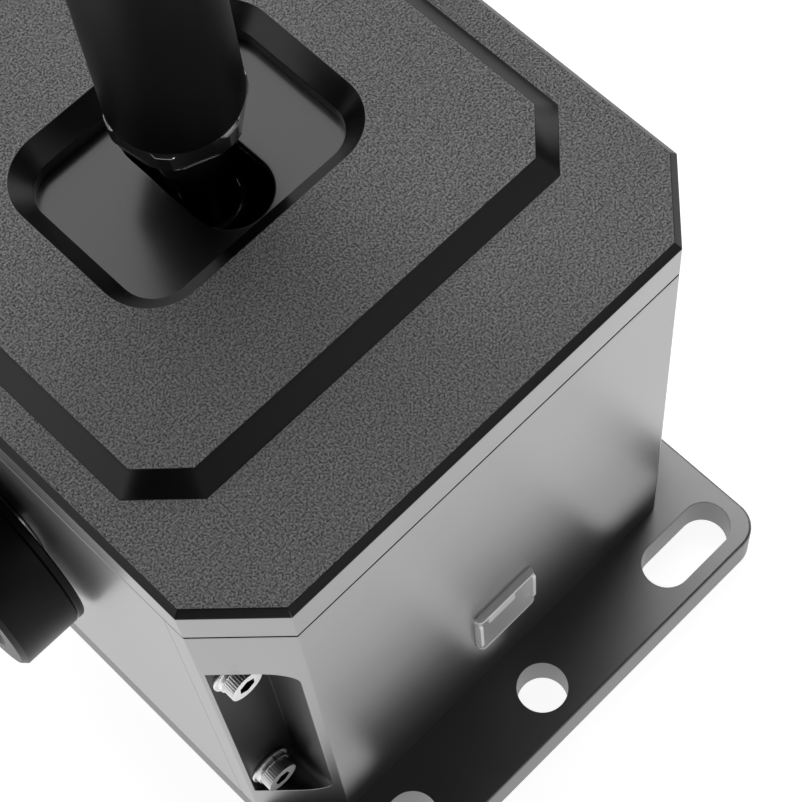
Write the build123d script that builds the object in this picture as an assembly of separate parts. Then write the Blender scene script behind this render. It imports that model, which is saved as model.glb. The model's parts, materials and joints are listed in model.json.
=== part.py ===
from build123d import *
import math
import os

# Sim racing gear shifter, sequential pattern. Millimetres, +Z up.
# Origin: the middle of the base plate's fixing holes, at the face that rests on the rig.
# +Y points away from the driver, +X to the driver's right, where the force knob is.

# Housing: a base plate, two thick end plates, two side panels and a cover.
body_width = 93.5
body_length = 143.2
corner_leg = 10.5
base_thickness = 8.0
wall_height = 84.1
end_plate_thickness = 14.3
side_panel_thickness = 9.0
seam_height = 0.5
seam_depth = 1.0
edge_break = 0.25

# Base flange and its fixing holes.
flange_reach = 15.4
flange_corner_radius = 5.0
flange_edge_break = 0.5
fixing_row_inset = 8.4
fixing_hole_radius = 4.25
fixing_slot_length = 18.0
fixing_slot_spacing = 70.0

# Cover, with a raised island and the recess round the lever.
cover_edge_height = 7.9
cover_bevel = 1.0
island_height = 2.5
island_end_margin = 19.35
island_side_margin = 5.85
island_corner_leg = 8.0
island_slope_run = 3.2
recess_width = 45.3
recess_length = 34.0
recess_corner_radius = 8.5
recess_slope = 2.95
recess_depth = 5.37
recess_front_distance = 58.5

# Gate plate under the recess.
gate_thickness = 2.0
gate_margin = 6.0
gate_corner_radius = 3.0
gate_pocket_clearance = 0.2
gate_screw_cover_left = 1.5
gate_slot_width = 12.4
gate_slot_length = 26.4
gate_slot_front_gap = 1.45

# Lever line and pivot.
lever_side_offset = -1.3
lever_front_distance = 60.1
pivot_height = 55.8

# Shapes that many pieces share.
hexagon_sides = 6
spring_arcs_per_turn = 4
spring_points_per_turn = 32

# Clearances, and the length by which a cut runs past its face.
overrun = 1.0
slip_clearance = 0.02
running_clearance = 0.05
hole_clearance = 0.2
seat_gap = 0.3

# Corner notches and the cap screws in them.
notch_depth = 10.0
notch_width = 9.45
notch_top_drop = 15.5
notch_bottom_rise = 10.6
notch_corner_radius = 4.0
corner_screw_inset = 4.35
corner_screw_top_drop = 21.6
corner_screw_bottom_rise = 16.5
corner_screw_bite = 10.0
corner_screw_head_height = 2.0

# Metric cap screws: shank radius, head radius, head height, socket across flats.
m3_radius = 1.5
m3_head_radius = 2.75
m3_head_height = 3.0
m3_socket = 2.5
m4_radius = 2.0
m4_head_radius = 3.5
m4_head_height = 4.0
m4_socket = 3.0
head_chamfer = 0.3
socket_depth_share = 0.6
flat_washer_radius = 3.5
flat_washer_thickness = 0.5
spring_washer_radius = 3.0
spring_washer_thickness = 0.8
spring_washer_split = 0.5

# Countersunk screws.
sink_head_radius = 2.9
sink_head_height = 1.7
axle_screw_radius = 2.5
axle_screw_head_radius = 4.6
axle_screw_head_height = 2.5
axle_screw_length = 12.0

# Tie bolts, from under the base through the end plates into the cover.
tie_bolt_inset = 18.75
tie_bolt_cover_left = 2.5
counterbore_extra = 0.6

# Screws from under the base into the side panels, the spring blocks and the sensor bracket.
base_screw_spacing = 60.0
base_screw_bite = 10.0

# Pivot axle and bearings.
axle_radius = 5.0
axle_end_bite = 6.0
axle_knob_bite = 4.25
axle_chamfer = 0.5
bearing_radius = 9.5
bearing_width = 5.0
bearing_inner_land = 6.5
bearing_outer_land = 8.0
ball_radius = 1.3
ball_count = 8
spacer_radius = 6.3

# Lever hub.
hub_width = 24.0
hub_boss_radius = 15.0
hub_bore_radius = 8.6
hub_neck_base_radius = 10.0
hub_neck_base_rise = 9.0
hub_neck_radius = 6.4
hub_neck_rim_length = 4.4
hub_rim_drop = 9.93
hub_rim_chamfer = 0.6
hub_socket_floor_rise = 11.4
arm_thickness = 10.0
arm_root_half_width = 8.0
arm_root_drop = 12.0
stop_pad_half_width = 6.0
stop_pad_drop = 18.8
stop_pad_half_height = 3.5
plunger_pad_half_width = 5.0
plunger_drop = 30.8
plunger_pad_half_height = 4.5
arm_end_drop = 37.0
arm_end_radius = 1.5
grub_radius = 2.0
grub_length = 3.0
grub_socket = 2.0
grub_rise = 15.0

# Lever shaft, lock nut and grip.
shaft_radius = 5.4
shaft_chamfer = 0.8
shaft_grip_bite = 27.0
nut_island_gap = 7.0
grip_radius = 9.8
grip_length = 137.0
grip_lower_edge_radius = 0.6
grip_top_edge_chamfer = 0.4
cap_spigot_radius = 6.0
cap_spigot_length = 8.0
cap_height = 8.0
cap_crown_radius = 5.5
nut_height = 3.7
nut_corner_radius = 10.0
nut_across_flats = 18.25
nut_chamfer = 0.45
nut_turn = 39.0

# Friction stack beside the hub, and the force knob that tightens it.
friction_radius = 14.5
friction_disc_thickness = 2.0
friction_disc_bore = 9.6
pressure_plate_thickness = 3.0
spring_spigot_length = 1.5
damper_spring_length = 12.0
damper_coil_radius = 7.2
damper_wire_radius = 1.0
damper_turns = 3.5
sleeve_radius = 8.0
bush_radius = 9.5
bush_flange_radius = 10.8
bush_flange_thickness = 1.2
bush_chamfer = 0.3
knob_gap = 4.6
knob_radius = 21.5
knob_thickness = 9.0
knob_chamfer = 0.8
knob_rear_chamfer = 0.3
knob_dish_radius = 16.0
knob_dish_depth = 1.2
knob_index_width = 1.2
knob_index_length = 3.6
knob_index_depth = 0.6
knob_bore_floor = 2.6

# Return plungers, their springs and blocks, and the end stops above them.
plunger_head_radius = 6.0
plunger_head_length = 4.0
plunger_dome_radius = 8.0
plunger_stem_radius = 3.5
plunger_stem_length = 27.0
block_distance = 26.5
block_thickness = 12.0
block_width = 20.0
block_top_drop = 13.5
block_edge_radius = 1.5
return_coil_radius = 4.9
return_wire_radius = 0.8
return_turns = 5.5
stop_gap = 3.4
bumper_radius = 4.0
bumper_length = 6.0
stop_screw_radius = 2.5
stop_screw_tail = 3.7
stop_nut_flats = 8.0
stop_nut_thickness = 2.7
block_screw_spacing = 12.0
block_screw_bite = 8.0

# Sensor beside the lower end of the lever.
magnet_radius = 3.0
magnet_thickness = 2.6
sensor_gap = 1.5
chip_size = 4.0
chip_thickness = 1.0
board_thickness = 1.6
sensor_board_length = 39.0
sensor_board_height = 24.0
sensor_board_lift = 2.0
bracket_thickness = 2.0
bracket_foot = 12.0
bracket_screw_spacing = 24.0
bracket_screw_bite = 4.0
bracket_window_share = 0.5

# Computer socket and its board behind the front plate.
socket_center_height = 30.7
socket_width = 12.3
socket_height = 12.6
socket_wall = 0.6
socket_corner_radius = 0.9
socket_proud = 1.2
socket_lip_radius = 0.9
socket_lip_notch = 0.9
window_clearance = 0.15
tongue_width = 5.8
tongue_height = 4.2
tongue_recess = 1.4
usb_board_width = 60.0
usb_board_height = 40.0
usb_board_gap = 1.1
usb_board_hole_inset = 3.5
usb_spacer_radius = 2.6
usb_screw_bite = 4.0

# Lead between the two boards.
lead_radius = 1.2
lead_plug_size = 6.0
lead_plug_length = 6.0
lead_side_run = 8.0
lead_bend_radius = 7.5

# Places that follow from the sizes above.
front_face = body_length / 2
side_face = body_width / 2
inner_end = front_face - end_plate_thickness
inner_side = side_face - side_panel_thickness
wall_top = base_thickness + wall_height
cover_top = wall_top + cover_edge_height
island_top = cover_top + island_height
gate_top = island_top - recess_depth
recess_y = front_face - recess_front_distance
lever_x = lever_side_offset
lever_y = front_face - lever_front_distance
pivot = (lever_x, lever_y, pivot_height)
fixing_row_y = front_face + fixing_row_inset
hub_right = lever_x + hub_width / 2
hub_left = lever_x - hub_width / 2
plunger_height = pivot_height - plunger_drop
stop_height = pivot_height - stop_pad_drop
tie_bolt_x = side_face - tie_bolt_inset
tie_bolt_y = front_face - end_plate_thickness / 2
corner_screw_x = side_face - corner_screw_inset
hub_rim_rise = gate_top - gate_thickness - hub_rim_drop - pivot_height
hub_neck_shoulder_rise = hub_rim_rise - hub_neck_rim_length
grip_rise = island_top + nut_island_gap + nut_height - pivot_height
octagon_leg_share = 2 - math.sqrt(2)


# Helpers

def save(node, shape):
    """Write one node; a list of shapes is kept as a group of separate solids."""
    if isinstance(shape, list):
        shape = Compound(children=[solid for item in shape for solid in item.solids()])
    export_step(shape, f"parts/{node}.step")


def facing(origin, direction, side=None):
    """The place of a piece built along +Z, turned so that it points along direction."""
    return Plane(origin=origin, x_dir=side, z_dir=direction).location


def turned(outline, bore=0):
    """A turned piece round Z: outline is its outside, radius and height, from end to end."""
    points = [(bore, outline[0][1]), *outline, (bore, outline[-1][1])]
    return revolve(Plane.XZ * make_face(Polyline(*points, close=True)), Axis.Z)


def rod(radius, start, end, bore=0):
    """A plain length of bar or tube round Z."""
    return turned([(radius, start), (radius, end)], bore)


def hexagon(across_flats):
    return RegularPolygon(across_flats / 2, side_count=hexagon_sides, major_radius=False)


def slab(sketch, bottom, top):
    """A flat outline given thickness between two heights."""
    return extrude(Pos(0, 0, bottom) * sketch, amount=top - bottom)


def octagon(width, length, leg):
    """A rectangle in plan with its four corners cut at 45 degrees."""
    outline = Rectangle(width, length)
    return chamfer(outline.vertices(), leg)


def step_in(width, length, leg, inset):
    """The sizes of the same eight-sided outline moved inwards by inset."""
    return width - 2 * inset, length - 2 * inset, leg - inset * octagon_leg_share


def both_ends(piece):
    """A piece and its mirror image at the other end of the housing."""
    return [piece, mirror(piece, about=Plane.XZ)]


def four_corners(x, y):
    return [(x, y), (-x, y), (x, -y), (-x, -y)]


def cap_screw(radius, head_radius, head_height, socket, length):
    """A socket cap screw: head above z = 0, shank below."""
    outline = [
        (radius, -length),
        (radius, 0),
        (head_radius, 0),
        (head_radius, head_height - head_chamfer),
        (head_radius - head_chamfer, head_height),
    ]
    depth = head_height * socket_depth_share
    return turned(outline) - slab(hexagon(socket), head_height - depth, head_height + overrun)


def sunk_screw(radius, head_radius, head_height, socket, length):
    """A countersunk screw: flat top at z = 0, shank below."""
    outline = [(radius, -length), (radius, -head_height), (head_radius, 0)]
    return turned(outline) - slab(hexagon(socket), -head_height * socket_depth_share, overrun)


def sunk_hole(radius, head_radius, head_height, length):
    """The cut for a countersunk screw, with clearance all round."""
    shank = radius + hole_clearance
    mouth = head_radius + hole_clearance
    return turned([(shank, -length), (shank, -head_height), (mouth, 0), (mouth, overrun)])


def spring(coil_radius, wire_radius, length, turns):
    """A helical spring round Z, from z = 0 to length, as one tube along arcs that meet smoothly."""
    climb = (length - 2 * wire_radius) / turns
    rise_per_radian = climb / math.tau

    def point(angle):
        return Vector(
            coil_radius * math.cos(angle),
            coil_radius * math.sin(angle),
            wire_radius + rise_per_radian * angle,
        )

    def heading(angle):
        along = Vector(-coil_radius * math.sin(angle), coil_radius * math.cos(angle), rise_per_radian)
        return along.normalized()

    count = round(turns * spring_arcs_per_turn)
    arcs = []
    for step in range(count):
        start = step * math.tau / spring_arcs_per_turn
        end = (step + 1) * math.tau / spring_arcs_per_turn
        chord = point(end) - point(start)
        first, last = heading(start), heading(end)
        a = 2 * (1 - first.dot(last))
        b = 2 * chord.dot(first + last)
        reach = (-b + math.sqrt(b * b + 4 * a * chord.dot(chord))) / (2 * a)
        knee_in = point(start) + first * reach
        knee_out = point(end) - last * reach
        middle = (knee_in + knee_out) * 0.5
        arcs.append(TangentArc(point(start), middle, tangent=first))
        arcs.append(TangentArc(middle, point(end), tangent=knee_out - knee_in))
    path = Wire([arc.edge() for arc in arcs])
    section = Plane(origin=point(0), z_dir=heading(0)) * Circle(wire_radius)
    print(f"spring: {turns} turns, least gap to itself {least_gap(path, turns) - 2 * wire_radius:.2f} mm")
    return sweep(section, path=path)


def least_gap(path, turns):
    """The least distance between turns, from points along the path that lie half a turn or more apart."""
    count = round(turns * spring_points_per_turn)
    points = [path.position_at(index / count) for index in range(count + 1)]
    apart = spring_points_per_turn // 2
    return min(
        (far - near).length for index, near in enumerate(points) for far in points[index + apart:]
    )


# Housing pieces

def base_plate():
    plate = slab(
        RectangleRounded(body_width, body_length + 2 * flange_reach, flange_corner_radius), 0, base_thickness
    )
    rim = plate.faces().sort_by(Axis.Z)[-1].edges()
    plate = chamfer(rim, flange_edge_break)
    for x, y in four_corners(fixing_slot_spacing / 2, fixing_row_y):
        slot = Pos(x, y) * SlotOverall(fixing_slot_length, 2 * fixing_hole_radius)
        plate -= slab(slot, -overrun, base_thickness + overrun)
    for y in (fixing_row_y, -fixing_row_y):
        plate -= Pos(0, y) * rod(fixing_hole_radius, -overrun, base_thickness + overrun)
    sunk = m4_head_height + counterbore_extra
    bolts = four_corners(tie_bolt_x, tie_bolt_y)
    for x, y in bolts + four_corners(panel_middle_x(), base_screw_spacing / 2) + block_screw_places():
        plate -= Pos(x, y) * turned(
            [
                (m4_head_radius + hole_clearance, -overrun),
                (m4_head_radius + hole_clearance, sunk),
                (m4_radius + hole_clearance, sunk),
                (m4_radius + hole_clearance, base_thickness + overrun),
            ]
        )
    for x, y in bracket_screw_places():
        plate -= Pos(x, y) * rod(m3_radius + running_clearance, base_thickness - bracket_screw_bite, wall_top)
    return plate


def panel_middle_x():
    return side_face - side_panel_thickness / 2


def corner_screw_heights():
    return wall_top - corner_screw_top_drop, base_thickness + corner_screw_bottom_rise


def end_plate(window):
    """A thick end plate: cut corners in plan, and a notch in each corner for its screw heads."""
    plan = Pos(0, front_face - end_plate_thickness / 2) * Rectangle(body_width, end_plate_thickness)
    plan = chamfer(plan.vertices().sort_by(Axis.Y)[-2:], corner_leg)
    plate = slab(plan, base_thickness, wall_top)
    land = octagon(*step_in(body_width, body_length, corner_leg, seam_depth))
    plate -= slab(plan - land, wall_top - seam_height, wall_top)
    low, high = base_thickness + notch_bottom_rise, wall_top - notch_top_drop
    notch = RectangleRounded(2 * notch_width, high - low, notch_corner_radius)
    seat = facing((side_face, front_face - notch_depth, (low + high) / 2), (0, 1, 0), (-1, 0, 0))
    cut = seat * extrude(notch, amount=notch_depth + overrun)
    plate -= cut
    plate -= mirror(cut, about=Plane.YZ)
    for height in corner_screw_heights():
        for x in (corner_screw_x, -corner_screw_x):
            hole = rod(m3_radius + hole_clearance, 0, end_plate_thickness)
            plate -= facing((x, inner_end - overrun, height), (0, 1, 0)) * hole
    for x in (tie_bolt_x, -tie_bolt_x):
        plate -= Pos(x, tie_bolt_y) * rod(m4_radius + hole_clearance, -overrun, cover_top)
    if window:
        opening = RectangleRounded(
            socket_width + 2 * window_clearance,
            socket_height + 2 * window_clearance,
            socket_corner_radius + window_clearance,
        )
        through = extrude(opening, amount=end_plate_thickness + 2 * overrun)
        plate -= facing((0, inner_end - overrun, socket_center_height), (0, 1, 0), (-1, 0, 0)) * through
        for x, z in usb_screw_places():
            bite = rod(m3_radius + running_clearance, -overrun, usb_screw_bite)
            plate -= facing((x, inner_end, z), (0, 1, 0)) * bite
    return plate


def side_panel(side):
    """A side panel between the end plates, tapped in its ends; side is 1 on the right, -1 on the left."""
    blank = Pos(side * panel_middle_x(), 0) * Rectangle(side_panel_thickness, 2 * inner_end)
    panel = slab(blank, base_thickness, wall_top - seam_height)
    edges = panel.edges().filter_by(Axis.Y)
    outer_top = edges.filter_by(lambda edge: side * edge.center().X > panel_middle_x())
    panel = chamfer(outer_top.sort_by(Axis.Z)[-1], edge_break)
    for height in corner_screw_heights():
        for way in (1, -1):
            tapped = rod(m3_radius + running_clearance, -overrun, corner_screw_bite + overrun)
            panel -= facing((side * corner_screw_x, way * inner_end, height), (0, -way, 0)) * tapped
    for y in (base_screw_spacing / 2, -base_screw_spacing / 2):
        tapped = rod(m4_radius + running_clearance, 0, base_thickness + base_screw_bite + overrun)
        panel -= Pos(side * panel_middle_x(), y) * tapped
    return panel


def right_panel():
    bore = rod(bush_radius + slip_clearance, inner_side - overrun, side_face + overrun)
    return side_panel(1) - facing((0, lever_y, pivot_height), (1, 0, 0)) * bore


def left_panel():
    seat = facing((-side_face, lever_y, pivot_height), (-1, 0, 0))
    axle_hole = rod(axle_radius + slip_clearance, -side_panel_thickness - overrun, -axle_screw_seat())
    screw_hole = sunk_hole(
        axle_screw_radius, axle_screw_head_radius, axle_screw_head_height, side_panel_thickness
    )
    return side_panel(-1) - seat * axle_hole - seat * screw_hole


def axle_screw_seat():
    """How far the axle's end lies under the left panel's outer face."""
    return side_panel_thickness - axle_end_bite


def recess_outline(inset):
    return Pos(0, recess_y) * RectangleRounded(
        recess_width - 2 * inset, recess_length - 2 * inset, recess_corner_radius - inset
    )


def gate_size():
    return (
        recess_width - 2 * recess_slope + 2 * gate_margin,
        recess_length - 2 * recess_slope + 2 * gate_margin,
    )


def gate_screw_places():
    width, length = gate_size()
    inset = sink_head_radius + hole_clearance + edge_break
    return [(x, recess_y + y) for x, y in four_corners(width / 2 - inset, length / 2 - inset)]


def top_cover():
    """The lid: bevelled eight-sided plate, raised island with sloped sides, and the sloped recess."""
    plan = octagon(body_width, body_length, corner_leg)
    lid = slab(plan, wall_top, cover_top)
    lid = chamfer(lid.faces().sort_by(Axis.Z)[-1].edges(), cover_bevel)
    lid = chamfer(lid.faces().sort_by(Axis.Z)[0].edges(), edge_break)
    foot = (body_width - 2 * island_side_margin, body_length - 2 * island_end_margin, island_corner_leg)
    crown = step_in(*foot, island_slope_run)
    island_foot = Pos(0, 0, cover_top) * octagon(*foot)
    island_edge = Pos(0, 0, island_top) * octagon(*crown)
    lid += loft([island_foot, island_edge], ruled=True)
    slope_bottom = island_top - recess_slope
    lid -= loft(
        [Pos(0, 0, island_top) * recess_outline(0), Pos(0, 0, slope_bottom) * recess_outline(recess_slope)],
        ruled=True,
    )
    lid -= slab(recess_outline(recess_slope), wall_top - overrun, slope_bottom + running_clearance)
    width, length = gate_size()
    pocket = RectangleRounded(
        width + 2 * gate_pocket_clearance, length + 2 * gate_pocket_clearance, gate_corner_radius
    )
    lid -= slab(Pos(0, recess_y) * pocket, wall_top - overrun, gate_top)
    for x, y in gate_screw_places():
        lid -= Pos(x, y) * rod(m3_radius + running_clearance, wall_top, gate_screw_top() + running_clearance)
    for x, y in four_corners(tie_bolt_x, tie_bolt_y):
        lid -= Pos(x, y) * rod(m4_radius + running_clearance, 0, cover_top - tie_bolt_cover_left)
    return lid


def gate_screw_top():
    return island_top - gate_screw_cover_left


def gate_plate():
    width, length = gate_size()
    plan = Pos(0, recess_y) * RectangleRounded(width, length, gate_corner_radius)
    plate = slab(plan, gate_top - gate_thickness, gate_top)
    slot_front = recess_y + recess_length / 2 - recess_slope - gate_slot_front_gap
    slot_place = Pos(lever_x, slot_front - gate_slot_length / 2) * Rot(0, 0, 90)
    slot = slot_place * SlotOverall(gate_slot_length, gate_slot_width)
    plate -= slab(slot, gate_top - gate_thickness - overrun, gate_top + overrun)
    for x, y in gate_screw_places():
        hole = sunk_hole(m3_radius, sink_head_radius, sink_head_height, gate_thickness + overrun)
        plate -= facing((x, y, gate_top - gate_thickness), (0, 0, -1)) * hole
    return plate


# Fasteners of the housing

def corner_stack(kind):
    """One piece of each corner screw's stack, for all eight corners."""
    seat = front_face - notch_depth
    grip_length_in_wall = end_plate_thickness - notch_depth
    washers = flat_washer_thickness + spring_washer_thickness
    if kind == "flat_washer":
        piece = rod(flat_washer_radius, 0, flat_washer_thickness, m3_radius + hole_clearance)
    elif kind == "spring_washer":
        piece = rod(spring_washer_radius, flat_washer_thickness, washers, m3_radius + hole_clearance)
        gap = Pos(spring_washer_radius, 0) * Rectangle(2 * spring_washer_radius, spring_washer_split)
        piece -= slab(gap, 0, washers + overrun)
    else:
        length = washers + grip_length_in_wall + corner_screw_bite
        screw = cap_screw(m3_radius, m3_head_radius, corner_screw_head_height, m3_socket, length)
        piece = Pos(0, 0, washers) * screw
    pieces = []
    for height in corner_screw_heights():
        for x in (corner_screw_x, -corner_screw_x):
            pieces += both_ends(facing((x, seat, height), (0, 1, 0)) * piece)
    return pieces


def tie_bolts():
    head_seat = m4_head_height + counterbore_extra
    length = cover_top - tie_bolt_cover_left - overrun - head_seat
    bolt = cap_screw(m4_radius, m4_head_radius, m4_head_height, m4_socket, length)
    places = four_corners(tie_bolt_x, tie_bolt_y)
    return [facing((x, y, head_seat), (0, 0, -1)) * bolt for x, y in places]


def screws_up(places, bite):
    """Cap screws from under the base plate into what stands on it."""
    head_seat = m4_head_height + counterbore_extra
    screw = cap_screw(m4_radius, m4_head_radius, m4_head_height, m4_socket, base_thickness - head_seat + bite)
    return [facing((x, y, head_seat), (0, 0, -1)) * screw for x, y in places]


def gate_plate_screws():
    length = gate_screw_top() - gate_top + gate_thickness
    screw = sunk_screw(m3_radius, sink_head_radius, sink_head_height, m3_socket, length)
    return [facing((x, y, gate_top - gate_thickness), (0, 0, -1)) * screw for x, y in gate_screw_places()]


# Pivot

def on_pivot_line(x):
    return facing((x, lever_y, pivot_height), (1, 0, 0))


def pivot_axle():
    start = -side_face + axle_screw_seat()
    end = side_face + knob_gap + axle_knob_bite
    outline = [
        (axle_radius - axle_chamfer, start),
        (axle_radius, start + axle_chamfer),
        (axle_radius, end - axle_chamfer),
        (axle_radius - axle_chamfer, end),
    ]
    tapped = rod(axle_screw_radius + running_clearance, start - overrun, start + axle_screw_length)
    return on_pivot_line(0) * (turned(outline) - tapped)


def axle_screw():
    screw = sunk_screw(
        axle_screw_radius, axle_screw_head_radius, axle_screw_head_height, m4_socket, axle_screw_length
    )
    return facing((-side_face, lever_y, pivot_height), (-1, 0, 0)) * screw


def bearing_starts():
    return hub_left, hub_right - bearing_width


def groove():
    """The ring of space in which a bearing's balls run, with its clearance."""
    pitch = (bearing_inner_land + bearing_outer_land) / 2
    circle = Pos(pitch, bearing_width / 2) * Circle(ball_radius + running_clearance)
    return revolve(Plane.XZ * circle, Axis.Z)


def bearing_races(inner, outer):
    ring = rod(outer, 0, bearing_width, inner) - groove()
    return [on_pivot_line(start) * ring for start in bearing_starts()]


def bearing_balls():
    pitch = (bearing_inner_land + bearing_outer_land) / 2
    balls = []
    for start in bearing_starts():
        for index in range(ball_count):
            place = Rot(0, 0, index * 360 / ball_count) * Pos(pitch, 0, bearing_width / 2)
            balls.append(on_pivot_line(start) * place * Sphere(ball_radius))
    return balls


def bearing_spacer():
    return on_pivot_line(0) * rod(
        spacer_radius, hub_left + bearing_width, hub_right - bearing_width, axle_radius + slip_clearance
    )


def axle_spacer():
    return on_pivot_line(0) * rod(spacer_radius, -inner_side, hub_left, axle_radius + slip_clearance)


# Lever

def arm_outline():
    """The lower arm seen from the side: flat pads for the end stops and for the return plungers."""
    half = [
        (arm_root_half_width, -arm_root_drop),
        (stop_pad_half_width, -stop_pad_drop + stop_pad_half_height),
        (stop_pad_half_width, -stop_pad_drop - stop_pad_half_height),
        (plunger_pad_half_width, -plunger_drop + plunger_pad_half_height),
        (plunger_pad_half_width, -arm_end_drop),
    ]
    return half + [(-y, z) for y, z in reversed(half)]


def lever_hub():
    """One machined block: bearing boss, neck for the shaft, and the lower arm."""
    boss = facing(pivot, (1, 0, 0)) * rod(hub_boss_radius, -hub_width / 2, hub_width / 2)
    boss = chamfer(boss.edges().filter_by(GeomType.CIRCLE), axle_chamfer)
    neck = turned(
        [
            (hub_neck_base_radius, hub_neck_base_rise),
            (hub_neck_radius, hub_neck_shoulder_rise),
            (hub_neck_radius, hub_rim_rise - hub_rim_chamfer),
            (hub_neck_radius - hub_rim_chamfer, hub_rim_rise),
        ]
    )
    outline = make_face(Polyline(*arm_outline(), close=True))
    outline = fillet(outline.vertices().sort_by(Axis.Y)[:2], arm_end_radius)
    arm = extrude(outline, amount=arm_thickness / 2, both=True)
    hub = boss + Pos(*pivot) * neck + facing(pivot, (1, 0, 0), (0, 1, 0)) * arm
    through = rod(hub_bore_radius, -hub_width / 2 - overrun, hub_width / 2 + overrun)
    hub -= facing(pivot, (1, 0, 0)) * through
    for side in (1, -1):
        seat = rod(bearing_radius + slip_clearance, hub_width / 2 - bearing_width, hub_width / 2 + overrun)
        hub -= facing(pivot, (side, 0, 0)) * seat
    hub -= Pos(*pivot) * rod(shaft_radius + slip_clearance, hub_socket_floor_rise, hub_rim_rise + overrun)
    grub_hole = rod(grub_radius + slip_clearance, 0, hub_boss_radius)
    hub -= facing((lever_x, lever_y, pivot_height + grub_rise), (0, 1, 0)) * grub_hole
    hub -= magnet_place() * rod(magnet_radius + slip_clearance, -magnet_thickness, overrun)
    return hub


def magnet_height():
    return pivot_height - arm_end_drop + arm_end_radius + magnet_radius


def magnet_place():
    return facing((lever_x - arm_thickness / 2, lever_y, magnet_height()), (-1, 0, 0))


def hub_grub_screw():
    screw = rod(grub_radius, 0, grub_length)
    screw -= slab(hexagon(grub_socket), grub_length / 2, grub_length + overrun)
    start = shaft_radius + running_clearance
    return facing((lever_x, lever_y + start, pivot_height + grub_rise), (0, 1, 0)) * screw


def lever_shaft():
    start, end = hub_socket_floor_rise, grip_rise + shaft_grip_bite
    outline = [
        (shaft_radius - shaft_chamfer, start),
        (shaft_radius, start + shaft_chamfer),
        (shaft_radius, end - shaft_chamfer),
        (shaft_radius - shaft_chamfer, end),
    ]
    return Pos(*pivot) * turned(outline)


def lock_nut():
    """A round nut with six flats milled on it, which leaves six narrow round corners."""
    outline = [
        (nut_corner_radius - nut_chamfer, 0),
        (nut_corner_radius, nut_chamfer),
        (nut_corner_radius, nut_height - nut_chamfer),
        (nut_corner_radius - nut_chamfer, nut_height),
    ]
    blank = turned(outline, shaft_radius + slip_clearance)
    flats = slab(hexagon(nut_across_flats), 0, nut_height)
    turn = Rot(0, 0, nut_turn)
    return Pos(lever_x, lever_y, pivot_height + grip_rise - nut_height) * turn * (blank & flats)


def grip():
    outline = [
        (grip_radius, 0),
        (grip_radius, grip_length - grip_top_edge_chamfer),
        (grip_radius - grip_top_edge_chamfer, grip_length),
    ]
    bar = turned(outline)
    bar = fillet(bar.faces().sort_by(Axis.Z)[0].edges(), grip_lower_edge_radius)
    bar -= rod(shaft_radius + slip_clearance, -overrun, shaft_grip_bite + seat_gap)
    spigot_floor = grip_length - cap_spigot_length - seat_gap
    bar -= rod(cap_spigot_radius + slip_clearance, spigot_floor, grip_length + overrun)
    return Pos(lever_x, lever_y, pivot_height + grip_rise) * bar


def grip_cap():
    """The crowned top of the grip, turned with a spigot that is pressed into it."""
    outline = [
        (cap_spigot_radius, -cap_spigot_length),
        (cap_spigot_radius, 0),
        (grip_radius - grip_top_edge_chamfer, 0),
        (grip_radius, grip_top_edge_chamfer),
        (grip_radius, cap_height),
    ]
    cap = turned(outline)
    cap = fillet(cap.faces().sort_by(Axis.Z)[-1].edges(), cap_crown_radius)
    return Pos(lever_x, lever_y, pivot_height + grip_rise + grip_length) * cap


# Friction stack and force knob

def friction_disc():
    end = hub_right + friction_disc_thickness
    return on_pivot_line(0) * rod(friction_radius, hub_right, end, friction_disc_bore)


def plate_end():
    return hub_right + friction_disc_thickness + pressure_plate_thickness


def pressure_plate():
    """The plate that squeezes the friction disc, with a spigot that centres the spring behind it."""
    spigot_radius = damper_coil_radius - damper_wire_radius - hole_clearance
    outline = [
        (friction_radius, hub_right + friction_disc_thickness),
        (friction_radius, plate_end()),
        (spigot_radius, plate_end()),
        (spigot_radius, plate_end() + spring_spigot_length),
    ]
    return on_pivot_line(0) * turned(outline, axle_radius + slip_clearance)


def damper_spring():
    length = damper_spring_length - 2 * seat_gap
    start = plate_end() + seat_gap
    return on_pivot_line(start) * spring(damper_coil_radius, damper_wire_radius, length, damper_turns)


def thrust_sleeve():
    start = plate_end() + damper_spring_length
    return on_pivot_line(0) * rod(sleeve_radius, start, side_face + knob_gap, axle_radius + running_clearance)


def knob_bush():
    flange_end = side_face + bush_flange_thickness
    outline = [
        (bush_radius, inner_side),
        (bush_radius, side_face),
        (bush_flange_radius, side_face),
        (bush_flange_radius, flange_end - bush_chamfer),
        (bush_flange_radius - bush_chamfer, flange_end),
    ]
    return on_pivot_line(0) * turned(outline, sleeve_radius + running_clearance)


def force_knob():
    """A turned hand knob: chamfered rims, a dished face with a plain index mark, and a threaded bore."""
    outline = [
        (knob_radius - knob_rear_chamfer, 0),
        (knob_radius, knob_rear_chamfer),
        (knob_radius, knob_thickness - knob_chamfer),
        (knob_radius - knob_chamfer, knob_thickness),
        (knob_dish_radius + knob_dish_depth, knob_thickness),
        (knob_dish_radius, knob_thickness - knob_dish_depth),
    ]
    knob = turned(outline)
    index_middle = (knob_dish_radius + knob_dish_depth + knob_radius - knob_chamfer) / 2
    index = Pos(0, index_middle) * Rectangle(knob_index_width, knob_index_length)
    knob -= slab(index, knob_thickness - knob_index_depth, knob_thickness + overrun)
    knob -= rod(axle_radius + running_clearance, -overrun, knob_thickness - knob_bore_floor)
    return facing((side_face + knob_gap, lever_y, pivot_height), (1, 0, 0), (0, 1, 0)) * knob


# Return plungers and end stops; each is made for the far side and mirrored about the lever

def far_side(piece_distance, height):
    return facing((lever_x, lever_y + piece_distance, height), (0, 1, 0), (-1, 0, 0))


def near_side(piece):
    return mirror(piece, about=Plane.XZ.offset(-lever_y))


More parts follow.
